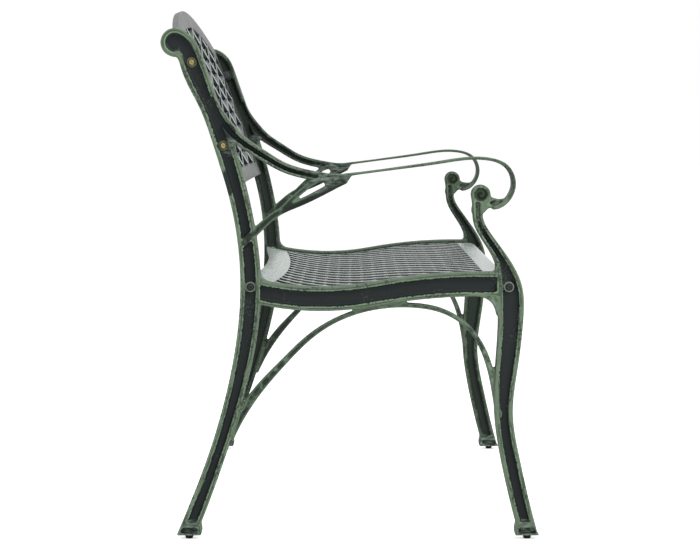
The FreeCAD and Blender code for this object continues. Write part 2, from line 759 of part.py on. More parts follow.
doc.recompute()
sub_parts = [left_frame, right_frame, seat, backrest, *fasteners, *glides]
for item in doc.Objects:
    if "Invalid" in item.State or "Error" in item.State:
        raise RuntimeError(f"{item.Label} failed: {item.State}")
for item in sub_parts:
    if item.Shape.isNull() or not item.Shape.isValid() or len(item.Shape.Solids) != 1:
        raise RuntimeError(f"{item.Label} is not one valid solid")

os.makedirs("parts", exist_ok=True)
for item in sub_parts:
    item.Shape.exportStep(os.path.join("parts", item.Label + ".step"))
    print(item.Label, round(item.Shape.Volume / 1000, 2), "cm3")
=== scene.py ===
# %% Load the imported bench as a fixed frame
import math

import bpy
import numpy as np
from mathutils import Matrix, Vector
from mathutils.bvhtree import BVHTree


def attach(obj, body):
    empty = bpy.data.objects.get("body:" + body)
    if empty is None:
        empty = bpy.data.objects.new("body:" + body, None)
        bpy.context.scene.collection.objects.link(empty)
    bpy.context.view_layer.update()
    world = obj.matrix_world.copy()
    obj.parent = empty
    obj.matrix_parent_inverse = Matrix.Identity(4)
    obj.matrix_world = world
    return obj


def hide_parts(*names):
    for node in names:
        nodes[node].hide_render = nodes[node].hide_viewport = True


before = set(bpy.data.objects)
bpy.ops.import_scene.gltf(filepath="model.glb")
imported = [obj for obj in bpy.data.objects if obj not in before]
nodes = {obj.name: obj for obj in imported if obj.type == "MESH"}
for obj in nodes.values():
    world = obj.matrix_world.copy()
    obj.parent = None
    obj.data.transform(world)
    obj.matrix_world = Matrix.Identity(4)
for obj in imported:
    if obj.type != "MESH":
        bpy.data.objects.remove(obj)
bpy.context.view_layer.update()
print("CAD nodes:", len(nodes))

# %% [markdown]
# # A cast aluminium garden bench
# The bench is bolted together from two cast end frames, a lattice seat and a lattice backrest. The CAD
# model has every piece at its real size, so this script only dresses it. The castings get rounded edges
# and a rubbed two-tone paint, the fixings get their platings, and the feet get black plastic.
# Lengths are in metres, +X runs along the bench and -Y is the front, as in the CAD frame.

# %% [markdown]
# ## Camera
# The view is along the bench from its left end, from a little above the seat. A long lens a few metres
# away keeps the far end frame nearly as large as the near one. A short lens would need less room but
# would shrink the far end. The lens and the distance were chosen together, so that both ends have the
# right size in the picture.

# %% Camera
CAMERA_PLACE = Vector((-3.990, 0.0, 0.6454))
CAMERA_TILT = math.radians(3.819)
CAMERA_LENS_MM = 116.33
SENSOR_WIDTH_MM = 36
VIEW_DEPTH = 50

bpy.ops.object.select_all(action="DESELECT")
bpy.ops.object.camera_add(location=CAMERA_PLACE, rotation=(math.pi / 2 - CAMERA_TILT, 0, -math.pi / 2))
camera = bpy.context.object
camera.name = "camera"
camera.data.lens = CAMERA_LENS_MM
camera.data.sensor_width = SENSOR_WIDTH_MM
camera.data.sensor_fit = "HORIZONTAL"
camera.data.clip_end = VIEW_DEPTH
bpy.context.scene.camera = camera
print("camera at", tuple(camera.location))

# %% [markdown]
# ## Nodes
# Every finish below is a small network of shader nodes. One function adds a node, sets it up and links it,
# so that each material reads as a list of what it is made of. Colours are written as the hex values that
# a paint card shows, and one function turns them into the linear light that the renderer works in.


# %% Helpers for materials
def linear(hex_value):
    """An sRGB hex colour as linear red, green, blue and alpha."""
    shares = [int(hex_value[start:start + 2], 16) / 255 for start in (1, 3, 5)]
    return (*[s / 12.92 if s <= 0.04045 else ((s + 0.055) / 1.055) ** 2.4 for s in shares], 1.0)


def add(tree, kind, inputs=None, **settings):
    """A new node: settings go to its own properties, inputs are values or links for its sockets."""
    node = tree.nodes.new(kind)
    for key, value in settings.items():
        setattr(node, key, value)
    for socket, value in (inputs or {}).items():
        if isinstance(value, bpy.types.NodeSocket):
            tree.links.new(value, node.inputs[socket])
        else:
            node.inputs[socket].default_value = value
    return node


def new_material(name):
    """An empty material, and the tree to build it in."""
    material = bpy.data.materials.new(name)
    material.use_nodes = True
    material.node_tree.nodes.clear()
    return material, material.node_tree


# %% [markdown]
# ## Floor and light
# A studio shot on white: a wide pale floor, a white surround and three large soft lamps. The surround is
# white where the camera, a reflection or a refraction looks at it, and dimmer as a lamp, so that the
# metal reflects a white room while colours keep their value. Stronger lamps would also turn the floor
# white, but they would bleach the paint. So the floor glows a little for the camera alone, which lifts it
# to white and still leaves the soft shadow under the feet.

# %% Floor
FLOOR_HALF = 30.0
FLOOR_GLOW = 0.62

bpy.ops.object.select_all(action="DESELECT")
bpy.ops.mesh.primitive_plane_add(size=2 * FLOOR_HALF)
floor = bpy.context.object
floor.name = "floor"
floor_paint, tree = new_material("white floor paint")
shade = add(tree, "ShaderNodeBsdfDiffuse", {"Color": linear("#e8e8e8")})
glow = add(tree, "ShaderNodeEmission", {"Color": linear("#ffffff"), "Strength": FLOOR_GLOW})
dark = add(tree, "ShaderNodeEmission", {"Strength": 0.0})
path = add(tree, "ShaderNodeLightPath")
seen = add(tree, "ShaderNodeMixShader",
           {0: path.outputs["Is Camera Ray"], 1: dark.outputs[0], 2: glow.outputs[0]})
both = add(tree, "ShaderNodeAddShader", {0: shade.outputs[0], 1: seen.outputs[0]})
add(tree, "ShaderNodeOutputMaterial", {"Surface": both.outputs[0]})
floor.data.materials.append(floor_paint)
print("floor:", 2 * FLOOR_HALF, "m square")

# %% White surround
WORLD_LIGHT = 0.6

world = bpy.data.worlds.new("white surround")
bpy.context.scene.world = world
world.use_nodes = True
tree = world.node_tree
tree.nodes.clear()
path = add(tree, "ShaderNodeLightPath")
sees_white = path.outputs["Is Camera Ray"]
for ray in ("Is Glossy Ray", "Is Transmission Ray"):
    sees_white = add(tree, "ShaderNodeMath", {0: sees_white, 1: path.outputs[ray]},
                     operation="MAXIMUM").outputs[0]
strength = add(tree, "ShaderNodeMapRange", {"Value": sees_white, "To Min": WORLD_LIGHT, "To Max": 1.0})
white = add(tree, "ShaderNodeBackground", {"Color": linear("#ffffff"), "Strength": strength.outputs[0]})
add(tree, "ShaderNodeOutputWorld", {"Surface": white.outputs[0]})
bpy.context.scene.view_settings.view_transform = "Standard"
print("surround lights the bench at", WORLD_LIGHT)

# %% Soft lamps
BENCH_MIDDLE = Vector((0.0, 0.0, 0.45))
# Place, width and power of each lamp
LAMPS = {
    "key_lamp": (Vector((-2.2, -1.6, 2.6)), 1.8, 60),
    "fill_lamp": (Vector((1.6, -2.6, 2.2)), 2.2, 45),
    "rear_lamp": (Vector((0.4, 2.6, 2.4)), 2.2, 45),
}

for name, (place, width, power) in LAMPS.items():
    bpy.ops.object.select_all(action="DESELECT")
    turn = (BENCH_MIDDLE - place).to_track_quat("-Z", "Y").to_euler()
    bpy.ops.object.light_add(type="AREA", location=place, rotation=turn)
    lamp = bpy.context.object
    lamp.name = name
    lamp.data.size = width
    lamp.data.energy = power
print("lamps:", len(LAMPS))

# %% [markdown]
# ## Copies of the CAD pieces
# The castings and fixings could be modelled afresh here, but their sizes might drift from the CAD model.
# So each piece that is seen starts as a copy of a node's mesh, and the node itself is never changed. The
# copy's loose triangles are merged first, so that modifiers see one closed skin. Cast, forged and pressed
# parts have no sharp edge, so most copies get a narrow bevel, which catches the light as a real edge does.

# %% Copies of the CAD pieces
MM = 0.001
SAME_POINT = 0.001 * MM


def only(piece):
    """Makes one piece the selected and active one, so that an operator acts on nothing else."""
    bpy.ops.object.select_all(action="DESELECT")
    piece.select_set(True)
    bpy.context.view_layer.objects.active = piece


def apply_modifier(piece, kind, **settings):
    """Adds a modifier to a piece and makes its result the mesh."""
    only(piece)
    modifier = piece.modifiers.new(kind.lower(), kind)
    for key, value in settings.items():
        setattr(modifier, key, value)
    bpy.ops.object.modifier_apply(modifier=modifier.name)


def merged_copy(node, name):
    """A piece that stands for a CAD node, with its loose triangles joined into one closed skin."""
    piece = bpy.data.objects.new(name, nodes[node].data.copy())
    bpy.context.scene.collection.objects.link(piece)
    only(piece)
    bpy.ops.object.mode_set(mode="EDIT")
    bpy.ops.mesh.select_all(action="SELECT")
    bpy.ops.mesh.remove_doubles(threshold=SAME_POINT)
    bpy.ops.object.mode_set(mode="OBJECT")
    piece.data.materials.clear()
    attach(piece, "root")
    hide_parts(node)
    return piece


SHARP_FROM = math.radians(40)
SMOOTH_BELOW = math.radians(30)


def bevelled_copy(node, name, width):
    """A piece that stands for a CAD node, with a narrow bevel on its sharp edges."""
    piece = merged_copy(node, name)
    apply_modifier(piece, "BEVEL", width=width, segments=2, limit_method="ANGLE",
                   angle_limit=SHARP_FROM, use_clamp_overlap=False)
    only(piece)
    bpy.ops.object.shade_smooth_by_angle(angle=SMOOTH_BELOW)
    return piece


# %% [markdown]
# ## End frames
# Sand-cast aluminium has no sharp edge: the mould rounds it and the paint rounds it further. A bevel
# would have to cope with hundreds of short edges along the curves. A voxel remesh of the solid followed
# by a little smoothing rounds every edge in the same way, and leaves an even mesh that can carry a
# painted mask. Where the casting is fuller than the solid, as in the corner between the bowl of the arm
# scroll and the front post, a short bar is joined to the copy first and the remesh makes one skin of
# both. The finished skin is thinned, because an even mesh spends most of its faces on flat places.

# %% Shape of the end frames, as depth and height in their side view
FRAME_MIDDLE = 490 * MM
FRAME_THICKNESS = 30 * MM
ARM_SCROLL = (-202 * MM, 537 * MM)
BOWL_CORNER = (-207.6 * MM, 518.5 * MM)
BRACKET_SLOT = ((25.5 * MM, 560 * MM), (32.5 * MM, 560.8 * MM))


def side_view(piece):
    """Depth and height of each vertex of a piece."""
    return np.array([v.co[1:] for v in piece.data.vertices])


def near(spots, middle, radius, steepness=2):
    """1 round a middle, falling to 0 at a radius. A steeper fall starts later."""
    from_middle = np.linalg.norm(spots - middle, axis=1)
    return np.clip(steepness - steepness * from_middle / radius, 0, 1)


# %% End frames with rounded edges
FRAME_VOXEL = 1.7 * MM
EDGE_PASSES = 3
BOWL_PASSES = 14
BOWL_REACH = 28 * MM
KEPT_FACES = 0.61
# Middle, radius and thickness of each place where the casting is fuller than the CAD solid
FILLETS = [
    (BOWL_CORNER, 6.4 * MM, FRAME_THICKNESS),
    (BRACKET_SLOT[0], 5.2 * MM, FRAME_THICKNESS),
    (BRACKET_SLOT[1], 5.2 * MM, FRAME_THICKNESS),
    (ARM_SCROLL, 11 * MM, FRAME_THICKNESS - 3 * MM),
]


def fill(piece, middle, radius, thickness):
    """Joins a short bar through an end frame, so that the remesh makes one skin of both."""
    bpy.ops.object.select_all(action="DESELECT")
    place = (math.copysign(FRAME_MIDDLE, piece.data.vertices[0].co.x), *middle)
    bpy.ops.mesh.primitive_cylinder_add(radius=radius, depth=thickness, location=place,
                                        rotation=(0, math.pi / 2, 0))
    piece.select_set(True)
    bpy.context.view_layer.objects.active = piece
    bpy.ops.object.join()


def near_bowl(piece):
    """A vertex group that fades out round the corner of the bowl."""
    group = piece.vertex_groups.new(name="bowl")
    for index, weight in enumerate(near(side_view(piece), BOWL_CORNER, BOWL_REACH)):
        if weight > 0:
            group.add([index], weight, "REPLACE")
    return group.name


ends = {}
for side in ("left", "right"):
    piece = merged_copy(f"{side}_end_frame", f"{side}_end_casting")
    for middle, radius, thickness in FILLETS:
        fill(piece, middle, radius, thickness)
    apply_modifier(piece, "REMESH", mode="VOXEL", voxel_size=FRAME_VOXEL, use_smooth_shade=True)
    apply_modifier(piece, "SMOOTH", factor=0.5, iterations=EDGE_PASSES)
    apply_modifier(piece, "SMOOTH", factor=0.5, iterations=BOWL_PASSES, vertex_group=near_bowl(piece))
    apply_modifier(piece, "DECIMATE", ratio=KEPT_FACES)
    ends[side] = piece
    print(piece.name, len(piece.data.polygons), "faces")

# %% [markdown]
# ## Where the paint is rubbed
# The castings are sprayed charcoal, then green is wiped on, which catches the rims and edges and misses
# the recesses. The rubbing follows the relief, so three distances are stored on the mesh in millimetres:
# how far a point is outside the nearest recess, how far it is inside the outer wall of its rim, and how
# far it is from the nearest outer edge. They come from the CAD faces: the floor of a recess is the only
# thing at its depth, and the walls of the recess end on it. A mask painted by hand would not follow a
# change of the CAD model.

# %% Distances from the recesses, walls and edges of the end frames
# From the middle of the casting to the floor of a recess
FLOOR_FROM_MIDDLE = 6 * MM
FLOOR_SLACK = 0.2 * MM
# The normal of a wall leans less than this along the bench, that of an inner side leans inwards by more
WALL_LEAN = 0.6
INNER_LEAN = 0.5


def distances(cad, wanted, places):
    """How far each place is from the nearest wanted face of a CAD mesh, in millimetres."""
    faces = [p.vertices for p, want in zip(cad.polygons, wanted) if want]
    tree = BVHTree.FromPolygons([v.co for v in cad.vertices], faces)
    return np.array([tree.find_nearest(place)[3] for place in places]) / MM


def store(mesh, name, values, domain="POINT"):
    """Keeps one value per point or per face on a mesh, for a material to read."""
    layer = mesh.attributes.new(name, "FLOAT", domain)
    layer.data.foreach_set("value", np.asarray(values, dtype=np.float32))


from_wall = {}
for side, piece in ends.items():
    mesh, cad = piece.data, nodes[f"{side}_end_frame"].data
    offsets = [abs(abs(v.co.x) - FRAME_MIDDLE) for v in cad.vertices]
    at_floor = [abs(offset - FLOOR_FROM_MIDDLE) < FLOOR_SLACK for offset in offsets]
    hidden = [any(at_floor[index] for index in p.vertices) for p in cad.polygons]
    raised = [not inside for inside in hidden]
    walls = [up and abs(p.normal.x) < WALL_LEAN for p, up in zip(cad.polygons, raised)]
    rims = [up and not upright for up, upright in zip(raised, walls)]
    places = [v.co for v in mesh.vertices]
    from_wall[side] = distances(cad, walls, places)
    store(mesh, "from_recess", distances(cad, hidden, places) - distances(cad, raised, places))
    store(mesh, "from_wall", from_wall[side])
    store(mesh, "from_edge", from_wall[side] + distances(cad, rims, places))
    outward = math.copysign(1, places[0].x)
    store(mesh, "outer_side", [outward * v.normal.x > -INNER_LEAN for v in mesh.vertices])
    store(mesh, "on_wall", [1 - abs(v.normal.x) for v in mesh.vertices])
    print(piece.name, "faces in recesses", sum(hidden), "on walls", sum(walls), "on rims", sum(rims))

# %% [markdown]
# ## Places that were rubbed in another way, and a painted shade
# A pad doesn't reach everywhere alike. Small nooks and the feet keep a streaky film of green, which also
# dulls their rims. The green runs further into the recess at the top of the front post and round the
# rolled top of the back post. It is missing from the tip of the rim where the arm leaves the back post.
# The lower edge of the arm brace is painted dark, a painted shade. These places could be painted on the
# mesh by hand. A middle and a reach for each say the same, and can be read and changed. Each place is
# stored as a share from 0 to 1, or as a shift of the green in millimetres.

# %% Nooks, feet and plain stretches
FOOT_TOP = 30 * MM
FOOT_RIM_MM = 2.5
FOOT_DULLNESS = 0.5
NOOK_DULLNESS = 0.7
# The arch is rubbed less towards the back, and the braces above it less with their height
ARCH_TOP = 420 * MM
ARCH_FADE = 0.4
BRACE_FOOT = 410 * MM
# Middle, reach and width of clean edge in millimetres
NOOKS = {
    "bracket under the arm": ((31 * MM, 560 * MM), 46 * MM, 0),
    "bowl of the arm scroll": ((-240 * MM, 514 * MM), 32 * MM, 3.5),
    "joint by the lower bolt": ((184 * MM, 610 * MM), 16 * MM, 0),
}

for side, piece in ends.items():
    spots = side_view(piece)
    depth, height = spots.T
    nook = 1.0 * (height < FOOT_TOP)
    dulled = FOOT_DULLNESS * nook * (from_wall[side] > FOOT_RIM_MM)
    for middle, radius, clean in NOOKS.values():
        inside = near(spots, middle, radius, steepness=3)
        nook = np.maximum(nook, inside)
        dulled = np.maximum(dulled, NOOK_DULLNESS * inside * (from_wall[side] >= clean))
    store(piece.data, "in_nook", nook)
    store(piece.data, "dulled", dulled)
    store(piece.data, "less_rubbed", np.where(height < ARCH_TOP, ARCH_FADE * depth, height - BRACE_FOOT))
    print(piece.name, "points in nooks", int((nook > 0).sum()))

# %% Recesses that close or fade, and the bare tip of a rim
FRONT_POST = -150 * MM
# The recess of the front post closes towards the scroll, between these two heights
RECESS_END = (465 * MM, 510 * MM)
POST_CLOSING_MM = 3
ROLLED_TOP = (274 * MM, 771 * MM)
ROLL_REACH = 32 * MM
ROLL_CLOSING_MM = 1
RIM_TIP = (190 * MM, 633 * MM)
TIP_REACH = 17 * MM
TIP_LOSS_MM = 9
# How far into a recess the green fades: everywhere, and further at the front post's top and in the roll
FADE_MM = 0.3
POST_FADE_MM = 3.9
ROLL_FADE_MM = 7

for piece in ends.values():
    spots = side_view(piece)
    depth, height = spots.T
    at_post_top = np.where(depth < FRONT_POST, np.interp(height, RECESS_END, (0, 1)), 0)
    at_roll = near(spots, ROLLED_TOP, ROLL_REACH)
    at_tip = near(spots, RIM_TIP, TIP_REACH)
    closing = np.maximum(POST_CLOSING_MM * at_post_top, ROLL_CLOSING_MM * at_roll)
    fading = np.maximum(POST_FADE_MM * at_post_top, ROLL_FADE_MM * at_roll)
    store(piece.data, "closing", closing - TIP_LOSS_MM * at_tip)
    store(piece.data, "green_end", -FADE_MM - fading)
    print(piece.name, "points of bare rim", int((at_tip > 0).sum()))

# %% Painted shade along the lower edge of the arm brace
# Depths and heights along the edge
BRACE_EDGE = ((5 * MM, 44 * MM, 105 * MM), (549.5 * MM, 534.5 * MM, 502.5 * MM))
BELOW_EDGE_MM = 5
# The painted shade is dark up to the first height above the edge, and as green as the rest from the second on
DARK_EDGE_MM = (6, 9.6)
EDGE_DARKNESS = 0.9

for piece in ends.values():
    depth, height = side_view(piece).T
    above_edge = (height - np.interp(depth, *BRACE_EDGE)) / MM
    on_brace = (depth > BRACE_EDGE[0][0]) & (depth < BRACE_EDGE[0][-1]) & (above_edge > -BELOW_EDGE_MM)
    darkness = np.where(on_brace, np.interp(above_edge, DARK_EDGE_MM, (EDGE_DARKNESS, 0)), 0)
    store(piece.data, "brace_edge_shade", darkness)
    print(piece.name, "points of dark edge", int((darkness > 0).sum()))

# %% Coil of the arm scroll
ARM_SCROLL_RIM = 10.5 * MM
COIL_PITCH = 8 * MM

for piece in ends.values():
    spokes = side_view(piece) - ARM_SCROLL
    radii = np.linalg.norm(spokes, axis=1)
    turns = np.arctan2(spokes[:, 1], spokes[:, 0]) / (2 * math.pi)
    store(piece.data, "in_scroll", radii < ARM_SCROLL_RIM)
    # A wave that goes round once as it goes out by one pitch draws a coil
    store(piece.data, "coil", np.cos(2 * math.pi * (radii / COIL_PITCH + turns)))
    print(piece.name, "points in the scroll", int((radii < ARM_SCROLL_RIM).sum()))

# %% [markdown]
# ## Rubbed powder coat on the end frames
# Powder coat is a sprayed polyester that melts into a satin skin with a faint orange peel. Here a green
# coat lies over charcoal and is rubbed back while soft. It could be one picture of paint wrapped round
# the casting, but that would have seams and one fixed size. Instead the coat is built up as it was made:
# how much green is left at each point, the colours of the green, and those of the charcoal under it.
# Each of these is a function that adds its nodes and hands on one socket.

# %% How much green is left
FRAY_SWAY_MM = 11.0
DRIFT_MM = 5.0
# Green lost on the inner sides, which face the seat: a painted shade
INNER_LOSS_MM = 3.0


def green_left(tree, stored, grain, chipping):
    """The green frays at a recess, covers less of the sides that face the seat, which is a painted shade, and
    is chipped.
    """
    sway = add(tree, "ShaderNodeMath", {0: grain["fray"], 1: FRAY_SWAY_MM, 2: -FRAY_SWAY_MM / 2},
               operation="MULTIPLY_ADD").outputs[0]
    drift = add(tree, "ShaderNodeMath", {0: grain["patches"], 1: DRIFT_MM, 2: -DRIFT_MM / 2},
                operation="MULTIPLY_ADD").outputs[0]
    loss = add(tree, "ShaderNodeMath", {0: stored["outer_side"], 1: INNER_LOSS_MM, 2: -INNER_LOSS_MM},
               operation="MULTIPLY_ADD").outputs[0]
    border = sway
    for shift in (drift, stored["closing"], loss, stored["from_recess"]):
        border = add(tree, "ShaderNodeMath", {0: border, 1: shift}, operation="ADD").outputs[0]
    kept = add(tree, "ShaderNodeMapRange",
               {"Value": border, "From Min": stored["green_end"], "From Max": 1.0},
               interpolation_type="SMOOTHSTEP").outputs[0]
    whole = add(tree, "ShaderNodeMapRange", {"Value": chipping, "From Min": 0.31, "From Max": 0.36,
                                             "To Min": 1.0, "To Max": 0.15}).outputs[0]
    return add(tree, "ShaderNodeMath", {0: kept, 1: whole}, operation="MULTIPLY").outputs[0]


# %% Green of the rims and of the plain stretches
# The line of painted shade along a rim: how far it is from the recess, and half its width
LINE_MIDDLE_MM = 3.8
LINE_HALF_MM = 1.1
# A plain stretch is green up to the first distance from its outer wall and mottled from the second on
GREEN_EDGE_MM = (1.0, 3.5)
# Share of rubbing, and the colour that it leaves on a plain stretch
RUBBED_COLOURS = ((0.43, "#2a332c"), (0.50, "#425245"), (0.57, "#5f735d"), (0.68, "#87938a"))


def rim_green(tree, stored, grain, width):
    """A rim is paler towards its recess and darker at its outer wall, a painted shading of its rounded
    profile, and a line of painted shade runs along it.
    """
    across = add(tree, "ShaderNodeMath", {0: stored["from_wall"], 1: width}, operation="DIVIDE").outputs[0]
    # Darker at the outer wall and paler towards the recess: a painted shading of the rounded rim
    green = add(tree, "ShaderNodeMix", {0: across, 6: linear("#60725c"), 7: linear("#7f947b")},
                data_type="RGBA").outputs[2]
    on_line = add(tree, "ShaderNodeMath", {0: stored["from_recess"], 1: LINE_MIDDLE_MM, 2: LINE_HALF_MM},
                  operation="COMPARE").outputs[0]
    unbroken = add(tree, "ShaderNodeMapRange", {"Value": grain["patches"], "From Min": 0.34,
                                                "From Max": 0.48, "To Max": 0.8}).outputs[0]
    line = add(tree, "ShaderNodeMath", {0: on_line, 1: unbroken}, operation="MULTIPLY").outputs[0]
    # The line of painted shade, broken into patches
    return add(tree, "ShaderNodeMix", {0: line, 6: green, 7: linear("#42503f")},
               data_type="RGBA").outputs[2]


def plain_green(tree, stored, grain):
    """Stretches with no recess, such as the braces, are dark and mottled between green edges."""
    rubbing = add(tree, "ShaderNodeMath", {0: grain["mottle"], 1: stored["less_rubbed"]},
                  operation="SUBTRACT").outputs[0]
    mottle = add(tree, "ShaderNodeValToRGB", {"Fac": rubbing})
    ramp = mottle.color_ramp
    for stop, colour in RUBBED_COLOURS:
        ramp.elements.new(stop).color = linear(colour)
    ramp.elements.remove(ramp.elements[0])
    ramp.elements.remove(ramp.elements[-1])
    inside = add(tree, "ShaderNodeMapRange", {"Value": stored["from_wall"], "From Min": GREEN_EDGE_MM[0],
                                              "From Max": GREEN_EDGE_MM[1]}).outputs[0]
    return add(tree, "ShaderNodeMix", {0: inside, 6: linear("#5f725c"), 7: mottle.outputs[0]},
               data_type="RGBA").outputs[2]


# %% Green of the walls, edges and inner sides
# Up to the first width a stretch is a rim beside a recess, and from the second on it is plain
PLAIN_WIDTH_MM = (10.0, 13.0)
# The pale paint on an outer edge, wear and a painted highlight, starts at the first distance from it and is
# full from the second on
PALE_EDGE_MM = (1.8, 0.6)
# How far the inner sides are darkened: a painted shade
INNER_PAINTED_SHADE = 0.35


def green_paint(tree, stored, grain):
    """All the green: rims and plain stretches, thin on the walls, pale on edges as wear and painted
    highlight, darker on the inner sides as painted shade.
    """
    width = add(tree, "ShaderNodeMath", {0: stored["from_recess"], 1: stored["from_wall"]},
                operation="ADD").outputs[0]
    plain = add(tree, "ShaderNodeMapRange", {"Value": width, "From Min": PLAIN_WIDTH_MM[0],
                                             "From Max": PLAIN_WIDTH_MM[1]}).outputs[0]
    faces = add(tree, "ShaderNodeMix", {0: plain, 6: rim_green(tree, stored, grain, width),
                                        7: plain_green(tree, stored, grain)}, data_type="RGBA").outputs[2]
    thin = add(tree, "ShaderNodeMapRange", {"Value": grain["mottle"], "From Min": 0.35,
                                            "From Max": 0.65}).outputs[0]
    walls = add(tree, "ShaderNodeMix", {0: thin, 6: linear("#343f37"), 7: linear("#54664f")},
                data_type="RGBA").outputs[2]
    upright = add(tree, "ShaderNodeMapRange", {"Value": stored["on_wall"], "From Min": 0.5,
                                               "From Max": 0.9}).outputs[0]
    rubbed = add(tree, "ShaderNodeMix", {0: upright, 6: faces, 7: walls}, data_type="RGBA").outputs[2]
    sharp = add(tree, "ShaderNodeMapRange", {"Value": stored["from_edge"], "From Min": PALE_EDGE_MM[0],
                                             "From Max": PALE_EDGE_MM[1]}).outputs[0]
    patchy = add(tree, "ShaderNodeMapRange", {"Value": grain["fray"], "From Min": 0.35, "From Max": 0.65,
                                              "To Max": 0.6}).outputs[0]
    pale = add(tree, "ShaderNodeMath", {0: sharp, 1: patchy}, operation="MULTIPLY").outputs[0]
    # Pale outer edges: wear and a painted highlight
    edged = add(tree, "ShaderNodeMix", {0: pale, 6: rubbed, 7: linear("#84918a")},
                data_type="RGBA").outputs[2]
    # Inner sides darker: a painted shade
    inner = add(tree, "ShaderNodeMix", {0: INNER_PAINTED_SHADE, 6: edged, 7: linear("#333c36")},
                data_type="RGBA").outputs[2]
    return add(tree, "ShaderNodeMix", {0: stored["outer_side"], 6: inner, 7: edged},
               data_type="RGBA").outputs[2]


# %% Charcoal of the recesses, film in the nooks and coil of the scroll
STREAK_MM = 3.5
STREAK_STRETCH = (1.0, 0.3, 1.0)


def charcoal_paint(tree, stored, chipping):
    """A recess is charcoal with crumbs of green, and greener on the sides that face the seat."""
    crumbs = add(tree, "ShaderNodeMapRange", {"Value": chipping, "From Min": 0.34, "From Max": 0.40,
                                              "To Max": 0.4}).outputs[0]
    crumbed = add(tree, "ShaderNodeMix", {0: crumbs, 6: linear("#2b3030"), 7: linear("#566257")},
                  data_type="RGBA").outputs[2]
    return add(tree, "ShaderNodeMix", {0: stored["outer_side"], 6: linear("#303932"), 7: crumbed},
               data_type="RGBA").outputs[2]


def nook_film(tree, place):
    """A streaky film of green over charcoal, drawn out from front to back."""
    drawn_out = add(tree, "ShaderNodeVectorMath", {0: place, 1: STREAK_STRETCH},
                    operation="MULTIPLY").outputs[0]
    streaks = add(tree, "ShaderNodeTexNoise", {"Vector": drawn_out, "Scale": 1 / (STREAK_MM * MM),
                                               "Detail": 3.0}).outputs[0]
    share = add(tree, "ShaderNodeMapRange", {"Value": streaks, "From Min": 0.38, "From Max": 0.68}).outputs[0]
    return add(tree, "ShaderNodeMix", {0: share, 6: linear("#222b25"), 7: linear("#7f8d82")},
               data_type="RGBA").outputs[2]


def scroll_paint(tree, stored):
    """Inside its rim the scroll of the arm is a coil of two dark greens."""
    wound = add(tree, "ShaderNodeMapRange", {"Value": stored["coil"], "From Min": -0.5,
                                             "From Max": 0.7}).outputs[0]
    return add(tree, "ShaderNodeMix", {0: wound, 6: linear("#161d19"), 7: linear("#33432f")},
               data_type="RGBA").outputs[2]


# %% Rubbed powder coat on the end frames
FRAME_MASKS = ("from_recess", "from_wall", "from_edge", "outer_side", "on_wall", "in_nook", "dulled",
               "less_rubbed", "closing", "green_end", "brace_edge_shade", "in_scroll", "coil")
# Size in millimetres, detail and roughness of each unevenness in the paint
PAINT_GRAINS = {"patches": (55, 3.0, 0.5), "mottle": (16, 4.0, 0.6), "fray": (4.5, 4.0, 0.6),
                "flecks": (4, 3.0, 0.5)}
# Coarser than a real orange peel, which is too fine to show
PEEL_MM = 2.5
PEEL_DEPTH_MM = 0.12


def rubbed_frame_coat():
    """Green over charcoal with a satin skin, which gives soft highlights and no mirror image."""
    material, tree = new_material("green powder coat rubbed over charcoal")
    place = add(tree, "ShaderNodeTexCoord").outputs["Object"]
    stored = {name: add(tree, "ShaderNodeAttribute", attribute_name=name).outputs["Fac"]
              for name in FRAME_MASKS}
    grain = {name: add(tree, "ShaderNodeTexNoise", {"Vector": place, "Scale": 1 / (size * MM),
                                                    "Detail": detail, "Roughness": roughness}).outputs[0]
             for name, (size, detail, roughness) in PAINT_GRAINS.items()}
    chipping = add(tree, "ShaderNodeMath", {0: grain["patches"], 1: grain["flecks"]},
                   operation="MULTIPLY").outputs[0]
    film = nook_film(tree, place)
    deep = add(tree, "ShaderNodeMix", {0: stored["in_nook"], 6: charcoal_paint(tree, stored, chipping),
                                       7: film}, data_type="RGBA").outputs[2]
    raised = add(tree, "ShaderNodeMix", {0: stored["dulled"], 6: green_paint(tree, stored, grain),
                                         7: film}, data_type="RGBA").outputs[2]
    # The second layer below, #1b221e, is the painted shade along the lower edge of the arm brace
    colour = deep
    for share, over in ((green_left(tree, stored, grain, chipping), raised),
                        (stored["brace_edge_shade"], linear("#1b221e")),
                        (stored["in_scroll"], scroll_paint(tree, stored))):
        colour = add(tree, "ShaderNodeMix", {0: share, 6: colour, 7: over}, data_type="RGBA").outputs[2]
    peel = add(tree, "ShaderNodeTexNoise", {"Vector": place, "Scale": 1 / (PEEL_MM * MM),
                                            "Detail": 2.0}).outputs[0]
    bump = add(tree, "ShaderNodeBump", {"Height": peel, "Strength": 0.3,
                                        "Distance": PEEL_DEPTH_MM * MM}).outputs[0]
    skin = add(tree, "ShaderNodeBsdfPrincipled", {"Base Color": colour, "Roughness": 0.45, "Normal": bump,
                                                  "IOR": 1.5, "Specular IOR Level": 0.15})
    add(tree, "ShaderNodeOutputMaterial", {"Surface": skin.outputs[0]})
    return material


frame_coat = rubbed_frame_coat()
for piece in ends.values():
    piece.data.materials.append(frame_coat)
print(frame_coat.name, "has", len(frame_coat.node_tree.nodes), "nodes")

# %% [markdown]
# ## Seat and backrest
# The two lattice castings are crisp: flat bars, one layer over the other, inside a plain border. A voxel
# mesh fine enough for their corners would be very heavy, so they are copies of the CAD solids with a
# narrow bevel, which is all that the mould and the paint leave of an edge.

# %% Seat and backrest with bevelled edges
PANEL_BEVEL = 0.7 * MM

panels = [bevelled_copy("seat_panel", "seat_casting", PANEL_BEVEL),
          bevelled_copy("backrest_panel", "backrest_casting", PANEL_BEVEL)]
for piece in panels:
    print(piece.name, len(piece.data.polygons), "faces")

